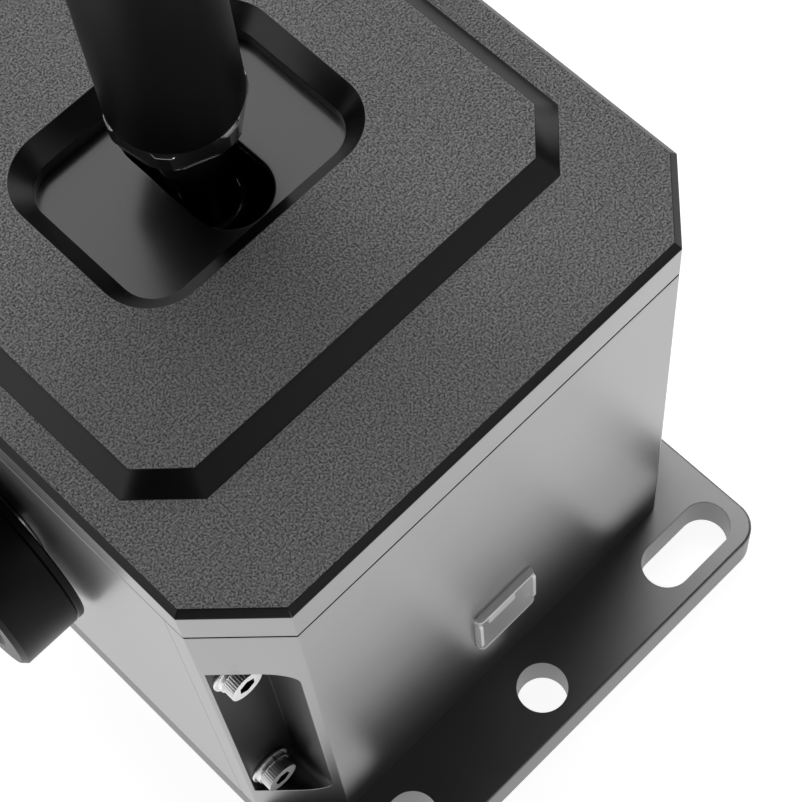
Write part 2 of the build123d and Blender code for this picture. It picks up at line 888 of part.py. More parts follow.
def plunger():
    """A stem with a crowned head, which bears on the lever's lower end."""
    head = rod(plunger_head_radius, 0, plunger_head_length)
    head = head & Pos(0, 0, plunger_dome_radius) * Sphere(plunger_dome_radius)
    stem = rod(plunger_stem_radius, plunger_head_length, plunger_head_length + plunger_stem_length)
    return far_side(plunger_pad_half_width + seat_gap, plunger_height) * (head + stem)


def return_spring():
    start = plunger_pad_half_width + seat_gap + plunger_head_length
    length = block_distance - start - 2 * seat_gap
    return far_side(start + seat_gap, plunger_height) * spring(
        return_coil_radius, return_wire_radius, length, return_turns
    )


def block_screw_places():
    middle = block_distance + block_thickness / 2
    return [
        (lever_x + x, lever_y + way * middle)
        for x in (block_screw_spacing / 2, -block_screw_spacing / 2)
        for way in (1, -1)
    ]


def spring_block():
    """A bored block on the base plate: it guides the plunger's stem and holds the stop screw."""
    top = pivot_height - block_top_drop
    middle = block_distance + block_thickness / 2
    plan = Pos(lever_x, lever_y + middle) * Rectangle(block_width, block_thickness)
    block = slab(plan, base_thickness, top)
    block = fillet(block.edges().filter_by(Axis.Y).sort_by(Axis.Z)[-2:], block_edge_radius)
    guide = rod(plunger_stem_radius + running_clearance, -overrun, block_thickness + overrun)
    block -= far_side(block_distance, plunger_height) * guide
    tapped = rod(stop_screw_radius + slip_clearance, -overrun, block_thickness + overrun)
    block -= far_side(block_distance, stop_height) * tapped
    for side in (1, -1):
        place = Pos(lever_x + side * block_screw_spacing / 2, lever_y + middle)
        block -= place * rod(m4_radius + running_clearance, 0, base_thickness + block_screw_bite + overrun)
    return block


def bumper_start():
    return stop_pad_half_width + stop_gap


def stop_bumper():
    bumper = rod(bumper_radius, 0, bumper_length)
    bumper = fillet(bumper.faces().sort_by(Axis.Z)[0].edges(), edge_break + seat_gap)
    return far_side(bumper_start(), stop_height) * bumper


def stop_screw():
    start = bumper_start() + bumper_length
    length = block_distance + block_thickness + stop_screw_tail - start
    return far_side(start, stop_height) * rod(stop_screw_radius, 0, length)


def stop_nut():
    nut = slab(hexagon(stop_nut_flats), 0, stop_nut_thickness)
    nut -= rod(stop_screw_radius + slip_clearance, -overrun, stop_nut_thickness + overrun)
    return far_side(block_distance + block_thickness, stop_height) * nut


# Sensor

def chip_face():
    return lever_x - arm_thickness / 2 - sensor_gap


def board_face():
    return chip_face() - chip_thickness


def sensor_chip():
    chip = extrude(Rectangle(chip_size, chip_size), amount=chip_thickness)
    return facing((chip_face(), lever_y, magnet_height()), (-1, 0, 0)) * chip


def sensor_board_plan():
    return Pos(board_face() - board_thickness / 2, lever_y) * Rectangle(board_thickness, sensor_board_length)


def sensor_board():
    bottom = base_thickness + sensor_board_lift
    return slab(sensor_board_plan(), bottom, bottom + sensor_board_height)


def bracket_back():
    return board_face() - board_thickness


def sensor_bracket():
    """An angle of sheet metal: its upright holds the board, its foot is screwed to the base plate."""
    top = base_thickness + sensor_board_lift + sensor_board_height
    upright = Pos(bracket_back() - bracket_thickness / 2, lever_y) * Rectangle(
        bracket_thickness, sensor_board_length
    )
    foot = Pos(bracket_back() - bracket_foot / 2, lever_y) * Rectangle(bracket_foot, sensor_board_length)
    bracket = slab(upright, base_thickness, top)
    bracket += slab(foot, base_thickness, base_thickness + bracket_thickness)
    window = Pos(0, (top - base_thickness) / 2) * RectangleRounded(
        sensor_board_length * bracket_window_share, lead_plug_size + bracket_thickness, bracket_thickness
    )
    cut = extrude(window, amount=bracket_thickness + 2 * overrun)
    bracket -= facing((bracket_back() + overrun, lever_y, base_thickness), (-1, 0, 0), (0, -1, 0)) * cut
    for x, y in bracket_screw_places():
        hole = rod(m3_radius + hole_clearance, 0, base_thickness + bracket_thickness + overrun)
        bracket -= Pos(x, y) * hole
    return bracket


def bracket_screw_places():
    x = board_face() - board_thickness - bracket_foot / 2 - bracket_thickness
    return [(x, lever_y + y) for y in (bracket_screw_spacing / 2, -bracket_screw_spacing / 2)]


def bracket_screws():
    length = bracket_thickness + bracket_screw_bite
    screw = cap_screw(m3_radius, m3_head_radius, m3_head_height, m3_socket, length)
    return [Pos(x, y, base_thickness + bracket_thickness) * screw for x, y in bracket_screw_places()]


# Computer socket

def socket_place():
    return facing((0, front_face + socket_proud, socket_center_height), (0, -1, 0), (1, 0, 0))


def usb_socket_shell():
    """The drawn steel shell: a square tube with four lips at its mouth, two of them of full width."""
    outer = RectangleRounded(socket_width, socket_height, socket_corner_radius)
    inner = RectangleRounded(
        socket_width - 2 * socket_wall,
        socket_height - 2 * socket_wall,
        socket_corner_radius - socket_wall / 2,
    )
    shell = slab(outer, socket_proud, socket_length())
    shell -= slab(inner, 0, socket_length() - socket_wall)
    full_lip = Pos(0, socket_height / 2) * socket_lip(socket_width)
    side_lip = Pos(0, socket_width / 2) * socket_lip(socket_height - 2 * (socket_wall + socket_lip_notch))
    for turn in (0, 180):
        shell += Rot(0, 0, turn) * full_lip
        shell += Rot(0, 0, turn + 90) * side_lip
    return socket_place() * shell


def socket_lip(width):
    """One lip of the mouth, with its two free corners rounded."""
    lip = Box(width, socket_wall, socket_proud, align=(Align.CENTER, Align.MAX, Align.MIN))
    return fillet(lip.edges().filter_by(Axis.Y).sort_by(Axis.Z)[:2], socket_lip_radius)


def socket_length():
    return socket_proud + end_plate_thickness + usb_board_gap


def usb_socket_tongue():
    """The insulator: a tongue in the middle of the shell, on a block that closes its rear half."""
    tongue_length = socket_length() - socket_wall - tongue_recess
    tongue = extrude(Rectangle(tongue_width, tongue_height), amount=tongue_length)
    rear = RectangleRounded(
        socket_width - 2 * socket_wall - 2 * running_clearance,
        socket_height - 2 * socket_wall - 2 * running_clearance,
        socket_corner_radius / 2,
    )
    block = Pos(0, 0, socket_length() / 2) * extrude(rear, amount=socket_length() / 2 - socket_wall)
    return socket_place() * (Pos(0, 0, tongue_recess) * tongue + block)


def usb_screw_places():
    x = usb_board_width / 2 - usb_board_hole_inset
    z = usb_board_height / 2 - usb_board_hole_inset
    return [(a, socket_center_height + b) for a, b in four_corners(x, z)]


def usb_board():
    start = inner_end - usb_board_gap
    board = extrude(Rectangle(usb_board_width, usb_board_height), amount=board_thickness)
    board = facing((0, start, socket_center_height), (0, -1, 0), (1, 0, 0)) * board
    for x, z in usb_screw_places():
        hole = rod(m3_radius + hole_clearance, -overrun, board_thickness + overrun)
        board -= facing((x, start, z), (0, -1, 0)) * hole
    return board


def usb_board_spacers():
    ring = rod(usb_spacer_radius, 0, usb_board_gap, m3_radius + hole_clearance)
    return [facing((x, inner_end, z), (0, -1, 0)) * ring for x, z in usb_screw_places()]


def usb_board_screws():
    length = board_thickness + usb_board_gap + usb_screw_bite
    screw = cap_screw(m3_radius, m3_head_radius, m3_head_height, m3_socket, length)
    seat = inner_end - usb_board_gap - board_thickness
    return [facing((x, seat, z), (0, -1, 0)) * screw for x, z in usb_screw_places()]


# Lead from the sensor board to the socket's board

def lead_height():
    return base_thickness + (sensor_board_lift + sensor_board_height) / 2


def lead_ends():
    start = (bracket_back() - bracket_thickness - lead_plug_length, lever_y, lead_height())
    corner_x = start[0] - lead_side_run
    end = (corner_x, inner_end - usb_board_gap - board_thickness - lead_plug_length, lead_height())
    return start, (corner_x, lever_y, lead_height()), end


def sensor_lead():
    start, corner, end = lead_ends()
    path = FilletPolyline(start, corner, end, radius=lead_bend_radius)
    section = facing(start, (-1, 0, 0)) * Circle(lead_radius)
    return sweep(section, path=path)


def lead_plugs():
    start, corner, end = lead_ends()
    block = extrude(Rectangle(lead_plug_size, lead_plug_size), amount=lead_plug_length + bracket_thickness)
    short = extrude(Rectangle(lead_plug_size, lead_plug_size), amount=lead_plug_length)
    return [facing(start, (1, 0, 0)) * block, facing(end, (0, 1, 0)) * short]


# Write every node

os.makedirs("parts", exist_ok=True)
save("base_plate", base_plate())
save("front_plate", end_plate(window=True))
save("rear_plate", mirror(end_plate(window=False), about=Plane.XZ))
save("right_panel", right_panel())
save("left_panel", left_panel())
save("top_cover", top_cover())
save("gate_plate", gate_plate())
save("gate_plate_screws", gate_plate_screws())
save("corner_screws", corner_stack("screw"))
save("corner_spring_washers", corner_stack("spring_washer"))
save("corner_flat_washers", corner_stack("flat_washer"))
save("tie_bolts", tie_bolts())
save("base_screws", screws_up(four_corners(panel_middle_x(), base_screw_spacing / 2), base_screw_bite))
save("block_screws", screws_up(block_screw_places(), block_screw_bite))
save("pivot_axle", pivot_axle())
save("axle_screw", axle_screw())
save("axle_spacer", axle_spacer())
save("bearing_spacer", bearing_spacer())
save("pivot_bearing_inner_races", bearing_races(axle_radius + slip_clearance, bearing_inner_land))
save("pivot_bearing_outer_races", bearing_races(bearing_outer_land, bearing_radius))
save("pivot_bearing_balls", bearing_balls())
save("lever_hub", lever_hub())
save("hub_grub_screw", hub_grub_screw())
save("lever_shaft", lever_shaft())
save("lock_nut", lock_nut())
save("grip", grip())
save("grip_cap", grip_cap())
save("friction_disc", friction_disc())
save("pressure_plate", pressure_plate())
save("damper_spring", damper_spring())
save("thrust_sleeve", thrust_sleeve())
save("knob_bush", knob_bush())
save("force_knob", force_knob())
save("front_plunger", plunger())
save("rear_plunger", near_side(plunger()))
save("front_return_spring", return_spring())
save("rear_return_spring", near_side(return_spring()))
save("front_spring_block", spring_block())
save("rear_spring_block", near_side(spring_block()))
save("stop_bumpers", [stop_bumper(), near_side(stop_bumper())])
save("stop_screws", [stop_screw(), near_side(stop_screw())])
save("stop_nuts", [stop_nut(), near_side(stop_nut())])
save("sensor_magnet", magnet_place() * rod(magnet_radius, -magnet_thickness, 0))
save("sensor_chip", sensor_chip())
save("sensor_board", sensor_board())
save("sensor_bracket", sensor_bracket())
save("bracket_screws", bracket_screws())
save("usb_socket_shell", usb_socket_shell())
save("usb_socket_tongue", usb_socket_tongue())
save("usb_board", usb_board())
save("usb_board_spacers", usb_board_spacers())
save("usb_board_screws", usb_board_screws())
save("sensor_lead", sensor_lead())
save("lead_plugs", lead_plugs())
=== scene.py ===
# %% [markdown]
# # A sim racing gear shifter, dressed in Blender
# The solids of the shifter are already made, at their real size. This lesson loads them, gives each one its
# finish, and models again by hand the pieces whose edges and curves catch the light: the cover, the plates, the
# lever, the knob and the screws. All lengths are in metres; `MM` turns millimetres into them.

import json
import math

import bmesh
import bpy
from mathutils import Matrix, Vector


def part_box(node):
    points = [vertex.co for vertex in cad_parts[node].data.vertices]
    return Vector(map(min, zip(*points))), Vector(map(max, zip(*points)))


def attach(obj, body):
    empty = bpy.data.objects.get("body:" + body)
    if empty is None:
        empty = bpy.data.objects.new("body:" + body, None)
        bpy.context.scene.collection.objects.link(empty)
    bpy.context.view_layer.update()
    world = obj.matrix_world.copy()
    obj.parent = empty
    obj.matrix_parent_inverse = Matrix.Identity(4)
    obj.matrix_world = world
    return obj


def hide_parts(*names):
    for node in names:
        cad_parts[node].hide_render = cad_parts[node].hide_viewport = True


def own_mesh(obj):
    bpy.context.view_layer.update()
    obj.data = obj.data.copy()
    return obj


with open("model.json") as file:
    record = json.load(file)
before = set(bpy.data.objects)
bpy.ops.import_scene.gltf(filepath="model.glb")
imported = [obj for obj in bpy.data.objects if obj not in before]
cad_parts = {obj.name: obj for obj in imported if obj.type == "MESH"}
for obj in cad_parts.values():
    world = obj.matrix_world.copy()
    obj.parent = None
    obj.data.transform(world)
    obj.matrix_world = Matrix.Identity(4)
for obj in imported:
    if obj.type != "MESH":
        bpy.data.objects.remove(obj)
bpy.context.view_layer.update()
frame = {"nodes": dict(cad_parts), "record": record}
MM = 0.001

# %% [markdown]
# ## The camera
# A close product photograph from above the far corner, taken with a long lens. A camera looks along its own -Z,
# with +Y up in the picture, so its place and three axis directions are all that it needs. They are written as
# rows here, because the picture is rolled a little and no single angle pair would give that.

# %% Camera
camera_place = Vector((83.3, 160.9, 368.5)) * MM
camera_right = Vector((-0.7080, 0.7038, -0.0589))
camera_up = Vector((-0.6564, -0.6249, 0.4227))
camera_back = camera_right.cross(camera_up)
lens_length = 102.3
sensor_width = 36.0

lens = bpy.data.cameras.new("camera")
lens.lens = lens_length
lens.sensor_width = sensor_width
lens.clip_start = 0.01
camera = bpy.data.objects.new("camera", lens)
bpy.context.scene.collection.objects.link(camera)
camera.matrix_world = Matrix.Translation(camera_place) @ Matrix(
    (camera_right, camera_up, camera_back)
).transposed().to_4x4()
bpy.context.scene.camera = camera
print("camera", round((camera_place - Vector((0, 0, 0.1))).length, 3), "m from the cover")

# %% [markdown]
# ## The floor and the light
# The shifter stands on a white table under one large soft box, with four weaker cards round it and darker studio
# behind the camera. The floor shows white to the camera and in reflections, and still keeps a faint shadow, because
# part of its brightness is ordinary lit paint.

# %% World, floor and lamps
bpy.context.scene.view_settings.view_transform = "Standard"
room_grey = 0.012
floor_glow = 0.93
floor_paint = 0.3
floor_size = 3.0


def add_node(tree, kind, **values):
    """Adds a shader node and sets its inputs by name, or its settings where no input has that name."""
    node = tree.nodes.new(kind)
    for name, value in values.items():
        socket = node.inputs.get(name.replace("_", " "))
        if socket is None:
            setattr(node, name, value)
        else:
            socket.default_value = value
    return node


def any_of_rays(tree, names):
    """One value that is 1 for each kind of ray named."""
    path = add_node(tree, "ShaderNodeLightPath")
    total = path.outputs[names[0]]
    for name in names[1:]:
        larger = add_node(tree, "ShaderNodeMath", operation="MAXIMUM")
        tree.links.new(total, larger.inputs[0])
        tree.links.new(path.outputs[name], larger.inputs[1])
        total = larger.outputs[0]
    return total


def set_world():
    world = bpy.data.worlds.new("studio")
    world.use_nodes = True
    tree = world.node_tree
    tree.nodes.clear()
    seen = any_of_rays(tree, ["Is Camera Ray", "Is Transmission Ray"])
    room = add_node(tree, "ShaderNodeBackground", Color=(1, 1, 1, 1), Strength=room_grey)
    white = add_node(tree, "ShaderNodeBackground", Color=(1, 1, 1, 1), Strength=1.0)
    mix = add_node(tree, "ShaderNodeMixShader")
    out = add_node(tree, "ShaderNodeOutputWorld")
    tree.links.new(seen, mix.inputs[0])
    tree.links.new(room.outputs[0], mix.inputs[1])
    tree.links.new(white.outputs[0], mix.inputs[2])
    tree.links.new(mix.outputs[0], out.inputs[0])
    bpy.context.scene.world = world


def floor_material():
    material = bpy.data.materials.new("white table")
    material.use_nodes = True
    tree = material.node_tree
    tree.nodes.clear()
    seen = any_of_rays(tree, ["Is Camera Ray", "Is Glossy Ray", "Is Transmission Ray"])
    paint = add_node(tree, "ShaderNodeBsdfDiffuse", Color=(floor_paint, floor_paint, floor_paint, 1))
    strength = add_node(tree, "ShaderNodeMath", operation="MULTIPLY")
    strength.inputs[1].default_value = floor_glow
    glow = add_node(tree, "ShaderNodeEmission", Color=(1, 1, 1, 1))
    both = add_node(tree, "ShaderNodeAddShader")
    out = add_node(tree, "ShaderNodeOutputMaterial")
    tree.links.new(seen, strength.inputs[0])
    tree.links.new(strength.outputs[0], glow.inputs["Strength"])
    tree.links.new(paint.outputs[0], both.inputs[0])
    tree.links.new(glow.outputs[0], both.inputs[1])
    tree.links.new(both.outputs[0], out.inputs[0])
    return material


def soft_box(name, place, target, size, power):
    """A square area lamp at place that shines at target."""
    lamp = bpy.data.lights.new(name, "AREA")
    lamp.shape = "RECTANGLE"
    lamp.size, lamp.size_y = size
    lamp.energy = power
    holder = bpy.data.objects.new(name, lamp)
    bpy.context.scene.collection.objects.link(holder)
    direction = Vector(target) - Vector(place)
    holder.matrix_world = Matrix.Translation(Vector(place)) @ direction.to_track_quat("-Z", "Y").to_matrix().to_4x4()


set_world()
bpy.ops.object.select_all(action="DESELECT")
bpy.ops.mesh.primitive_plane_add(size=floor_size, location=(0, 0, 0))
floor = bpy.context.object
floor.name = "table"
floor.data.materials.append(floor_material())
soft_box("overhead soft box", (-0.6, -1.05, 1.45), (0, 0, 0.1), (1.9, 1.8), 44.0)
soft_box("left card", (-1.7, 0.25, 0.5), (0, 0, 0.1), (1.4, 0.9), 4.5)
soft_box("far card", (-0.6, 1.6, 1.0), (0, 0, 0.1), (1.2, 0.8), 1.8)
soft_box("low far card", (0.75, 1.5, 0.3), (0, 0, 0.05), (1.0, 0.4), 9.0)
soft_box("right card", (1.5, -0.95, 0.7), (0, 0, 0.1), (1.2, 0.8), 3.4)
print("floor and lamps placed")

# %% [markdown]
# ## Finishes
# Every finish has the same bones: a base colour, a roughness and a bump that change slightly over the surface.
# A node group holds the pattern that several finishes share, so it is built once and placed in each of them with
# its own values.

# %% Shared pattern groups


def new_group(name, inputs, outputs):
    """An empty shader group with named value inputs and outputs."""
    group = bpy.data.node_groups.new(name, "ShaderNodeTree")
    for label, value in inputs:
        socket = group.interface.new_socket(name=label, in_out="INPUT", socket_type="NodeSocketFloat")
        socket.default_value = value
    for label in outputs:
        group.interface.new_socket(name=label, in_out="OUTPUT", socket_type="NodeSocketFloat")
    return group, group.nodes.new("NodeGroupInput"), group.nodes.new("NodeGroupOutput")


fine_per_coarse = 2.3
fine_share = 0.3
patch_scale = 22.0


def make_grain_group():
    """Small rounded bumps of two sizes, as a textured powder coat has, and slow changes of shade."""
    group, given, made = new_group(
        "surface grain", [("Scale", 3000.0), ("Stretch", 1.0)], ["Height", "Patches"]
    )
    place = add_node(group, "ShaderNodeTexCoord")
    stretch = add_node(group, "ShaderNodeCombineXYZ", X=1.0, Y=1.0, Z=1.0)
    mapped = add_node(group, "ShaderNodeVectorMath", operation="MULTIPLY")
    coarse = add_node(group, "ShaderNodeTexNoise", Detail=2.0, Roughness=0.5)
    fine = add_node(group, "ShaderNodeTexNoise", Detail=1.0, Roughness=0.5)
    finer = add_node(group, "ShaderNodeMath", operation="MULTIPLY")
    finer.inputs[1].default_value = fine_per_coarse
    mix = add_node(group, "ShaderNodeMix")
    mix.inputs["Factor"].default_value = fine_share
    patches = add_node(group, "ShaderNodeTexNoise", Scale=patch_scale, Detail=3.0, Roughness=0.6)
    link = group.links.new
    link(given.outputs["Stretch"], stretch.inputs["X"])
    link(place.outputs["Object"], mapped.inputs[0])
    link(stretch.outputs[0], mapped.inputs[1])
    link(mapped.outputs[0], coarse.inputs["Vector"])
    link(mapped.outputs[0], fine.inputs["Vector"])
    link(place.outputs["Object"], patches.inputs["Vector"])
    link(given.outputs["Scale"], coarse.inputs["Scale"])
    link(given.outputs["Scale"], finer.inputs[0])
    link(finer.outputs[0], fine.inputs["Scale"])
    link(coarse.outputs[0], mix.inputs["A"])
    link(fine.outputs[0], mix.inputs["B"])
    link(mix.outputs[0], made.inputs["Height"])
    link(patches.outputs[0], made.inputs["Patches"])
    return group


grain_group = make_grain_group()
print("group", grain_group.name)

# %% A finish from a few values
coat_roughness = 0.05
# Painted glints: how narrow a band of grain heights spans their whole range of colour.
painted_glint_spread = 0.09


def ramp(tree, value, low, high, reach=0.2):
    """Spreads a noise value, which is mostly near 0.5, over low to high."""
    spread = add_node(tree, "ShaderNodeMapRange")
    spread.inputs["From Min"].default_value = 0.5 - reach
    spread.inputs["From Max"].default_value = 0.5 + reach
    spread.inputs["To Min"].default_value = low
    spread.inputs["To Max"].default_value = high
    tree.links.new(value, spread.inputs["Value"])
    return spread.outputs[0]


def finish(
    name,
    color,
    roughness,
    metallic=0.0,
    grain=3000.0,
    stretch=1.0,
    depth=0.0,
    uneven=0.06,
    shade=0.12,
    coat=0.0,
    specular=0.5,
    painted_glint_strength=0.0,
):
    """A finish: colour and roughness that drift a little, over a grain of a given size and depth in metres, with
    painted glints on the grain where asked.
    """
    material = bpy.data.materials.new(name)
    material.use_nodes = True
    tree = material.node_tree
    shader = tree.nodes["Principled BSDF"]
    shader.inputs["Metallic"].default_value = metallic
    shader.inputs["Coat Weight"].default_value = coat
    shader.inputs["Coat Roughness"].default_value = coat_roughness
    shader.inputs["Specular IOR Level"].default_value = specular
    pattern = add_node(tree, "ShaderNodeGroup")
    pattern.node_tree = grain_group
    pattern.inputs["Scale"].default_value = grain
    pattern.inputs["Stretch"].default_value = stretch
    mix = add_node(tree, "ShaderNodeMix", data_type="RGBA")
    darker = [part * (1 - shade) for part in color]
    lighter = [part * (1 + shade) for part in color]
    for socket in mix.inputs:
        if socket.type == "RGBA":
            socket.default_value = (*(darker if socket.name == "A" else lighter), 1)
    tree.links.new(ramp(tree, pattern.outputs["Patches"], 0, 1), mix.inputs["Factor"])
    colour_out = [socket for socket in mix.outputs if socket.type == "RGBA"][0]
    # Painted glints: the base colour is lighter on the high points of the grain and darker on the low ones, standing
    # in for the lamp's glints on the coat.
    if painted_glint_strength:
        scaled = add_node(tree, "ShaderNodeVectorMath", operation="SCALE")
        tree.links.new(colour_out, scaled.inputs[0])
        painted_glint_factor = ramp(tree, pattern.outputs["Height"], 1 - painted_glint_strength, 1 + painted_glint_strength, painted_glint_spread)
        tree.links.new(painted_glint_factor, scaled.inputs["Scale"])
        colour_out = scaled.outputs[0]
    tree.links.new(colour_out, shader.inputs["Base Color"])
    tree.links.new(
        ramp(tree, pattern.outputs["Patches"], roughness * (1 - uneven), roughness * (1 + uneven)),
        shader.inputs["Roughness"],
    )
    if depth:
        bump = add_node(tree, "ShaderNodeBump", Strength=1.0, Distance=depth)
        tree.links.new(pattern.outputs["Height"], bump.inputs["Height"])
        tree.links.new(bump.outputs[0], shader.inputs["Normal"])
    return material


def grey(value):
    return (value, value, value)


# The powder coat's colour carries painted glints over its grain.
powder_coat = finish("powder coat", grey(0.11), 0.38, specular=0.9, grain=3200.0, depth=0.0006, painted_glint_strength=1.0)
smooth_coat = finish("smooth coat", grey(0.002), 0.3, specular=0.5, grain=2600.0, depth=0.000004)
anodised = finish(
    "anodised plate", grey(0.35), 0.33, uneven=0.03, shade=0.05, metallic=1.0, grain=6000.0, depth=0.000006
)
# Painted shade: a near-black copy of the anodised metal, put on the corner notches and in the seams under the cover,
# where the walls lie in shade.
painted_shade_metal = finish("painted shade metal", grey(0.022), 0.38, metallic=1.0, grain=5000.0, depth=0.000006)
foot_paint = finish("foot paint", grey(0.18), 0.42, metallic=1.0, grain=5000.0, depth=0.000006)
gate_finish = finish("gate plate satin", grey(0.015), 0.22, specular=0.3, grain=5000.0, depth=0.000003)
grip_finish = finish("grip satin", grey(0.002), 0.36, specular=0.2, grain=5000.0, depth=0.00001)
knob_black = finish("satin black knob", grey(0.002), 0.36, specular=0.1, grain=5000.0, depth=0.00001)
gloss_black = finish("polished black shaft", grey(0.006), 0.1, coat=1.0, depth=0.000002)
nut_steel = finish("polished nut", grey(0.4), 0.2, metallic=1.0, depth=0.000002)
screw_steel = finish("zinc plated steel", grey(0.85), 0.4, metallic=1.0, depth=0.000003)
bright_steel = finish("bright steel", grey(0.72), 0.18, metallic=1.0, depth=0.000003)
black_oxide = finish("black oxide steel", grey(0.03), 0.35, metallic=1.0, depth=0.000004)
machined = finish("machined aluminium", grey(0.65), 0.25, metallic=1.0, grain=4000.0, stretch=0.1, depth=0.000004)
spring_steel = finish("spring steel", grey(0.45), 0.28, metallic=1.0, depth=0.000004)
lining = finish("friction lining", (0.11, 0.09, 0.07), 0.85, grain=4000.0, depth=0.00004)
pale_plastic = finish("pale plastic", grey(0.7), 0.4, grain=3000.0, depth=0.000004)
socket_white = finish("white socket tongue", grey(0.85), 0.4, grain=3000.0, depth=0.000004)
socket_nickel = finish("satin nickel", grey(0.85), 0.45, metallic=0.4, grain=4000.0, depth=0.000004)
rubber = finish("black rubber", grey(0.02), 0.75, grain=4000.0, depth=0.00002)
board_green = finish("circuit board", (0.01, 0.09, 0.03), 0.35, grain=900.0, depth=0.00002)
black_plastic = finish("black plastic", grey(0.02), 0.45, grain=3500.0, depth=0.00001)
print("finishes", len(bpy.data.materials))

# %% [markdown]
# ## Modelling helpers
# Blender's operators work on whatever is selected, so each helper starts by selecting one thing only. The few
# helpers below are all that the pieces need: a block, a turned piece, a way to pick edges and faces by place,
# rounding, cutting, and easing every edge a little, because no real edge is perfectly sharp.

# %% Selecting and settling
nearly_parallel = 0.99
height_slack = 0.00001


def rest():
    """Object mode, with nothing selected."""
    if bpy.context.object and bpy.context.object.mode != "OBJECT":
        bpy.ops.object.mode_set(mode="OBJECT")
    bpy.ops.object.select_all(action="DESELECT")


def hold(piece):
    """Selects one piece and makes it the active one."""
    rest()
    piece.select_set(True)
    bpy.context.view_layer.objects.active = piece


def settle(piece):
    """Writes place, turn and scale into the mesh, which leaves the object at the origin."""
    hold(piece)
    bpy.ops.object.transform_apply(location=True, rotation=True, scale=True)


def pick(piece, kind, test):
    """Goes into edit mode and selects the corners, edges or faces for which the test is true."""
    hold(piece)
    bpy.ops.object.mode_set(mode="EDIT")
    bpy.ops.mesh.select_mode(type=kind)
    bpy.ops.mesh.select_all(action="DESELECT")
    mesh = bmesh.from_edit_mesh(piece.data)
    for part in {"VERT": mesh.verts, "EDGE": mesh.edges, "FACE": mesh.faces}[kind]:
        if test(part):
            part.select_set(True)
    mesh.select_flush_mode()
    bmesh.update_edit_mesh(piece.data)


def along(axis):
    """A test for edges that run along X, Y or Z."""
    index = "XYZ".index(axis)

    def test(edge):
        start, end = (corner.co for corner in edge.verts)
        return abs((end - start).normalized()[index]) > nearly_parallel

    return test


def at_height(height):
    """A test for edges or faces that lie at one height."""
    return lambda part: all(abs(corner.co.z - height) < height_slack for corner in part.verts)


# %% Blocks, rounding and cutting


def block(name, low, high):
    """A box between two corners."""
    rest()
    low, high = Vector(low), Vector(high)
    bpy.ops.mesh.primitive_cube_add(size=1, location=(low + high) / 2, scale=high - low)
    piece = bpy.context.object
    piece.name = name
    settle(piece)
    return piece


def bevel(piece, test, width, segments=1, kind="EDGE"):
    """Bevels the chosen edges: one segment is a chamfer, more make a round."""
    pick(piece, kind, test)
    affect = "VERTICES" if kind == "VERT" else "EDGES"
    bpy.ops.mesh.bevel(offset=width, offset_type="OFFSET", segments=segments, profile=0.5, affect=affect)
    rest()


def boolean(piece, tool):
    """Cuts piece with tool, and removes the tool."""
    hold(piece)
    modifier = piece.modifiers.new("tool", "BOOLEAN")
    modifier.operation = "DIFFERENCE"
    modifier.solver = "EXACT"
    modifier.object = tool
    bpy.ops.object.modifier_apply(modifier=modifier.name)
    bpy.data.objects.remove(tool)


def ease(piece, width, segments=2, angle=28):
    """Rounds every edge sharper than the angle by a small width."""
    hold(piece)
    modifier = piece.modifiers.new("eased edges", "BEVEL")
    modifier.width = width
    modifier.segments = segments
    modifier.limit_method = "ANGLE"
    modifier.angle_limit = math.radians(angle)
    bpy.ops.object.modifier_apply(modifier=modifier.name)


def join(pieces, name):
    """Several pieces made one object."""
    rest()
    for piece in pieces:
        piece.select_set(True)
    bpy.context.view_layer.objects.active = pieces[0]
    if len(pieces) > 1:
        bpy.ops.object.join()
    pieces[0].name = name
    return pieces[0]


def copy_of(piece):
    """A copy with its own mesh."""
    twin = piece.copy()
    twin.data = piece.data.copy()
    bpy.context.scene.collection.objects.link(twin)
    return twin


# %% Turned pieces


def turned(name, rings, sides=96, bore=0):
    """A turned piece round Z: a filled circle that is extruded and scaled from ring to ring."""
    rest()
    radius, height = rings[0]
    bpy.ops.mesh.primitive_circle_add(vertices=sides, radius=radius, fill_type="NGON", location=(0, 0, height))
    piece = bpy.context.object
    piece.name = name
    bpy.ops.object.mode_set(mode="EDIT")
    for (before, below), (after, above) in zip(rings, rings[1:]):
        bpy.ops.mesh.extrude_region_move(TRANSFORM_OT_translate={"value": (0, 0, above - below)})
        bpy.ops.transform.resize(value=(after / before, after / before, 1))
    bpy.ops.mesh.select_all(action="SELECT")
    bpy.ops.mesh.normals_make_consistent(inside=False)
    settle(piece)
    if bore:
        heights = [ring[1] for ring in rings]
        boolean(piece, turned("bore", [(bore, min(heights) - bore), (bore, max(heights) + bore)], sides))
    return piece


def hexagon(flats, low, high):
    """A hexagonal bar round Z, measured across its flats."""
    return turned("hexagon", [(flats / math.sqrt(3), low), (flats / math.sqrt(3), high)], 6)


def aim(piece, place, direction, turn=0):
    """Turns a piece made along Z to a direction, after a turn about its own axis, and moves it to a place."""
    spin = Matrix.Rotation(math.radians(turn), 4, "Z")
    swing = Vector(direction).to_track_quat("Z", "Y").to_matrix().to_4x4()
    piece.matrix_world = Matrix.Translation(Vector(place)) @ swing @ spin
    settle(piece)
    return piece


# %% Putting a piece in place

body_of_node = {node: body for body, nodes in frame["record"]["behaviour"]["bodies"].items() for node in nodes}


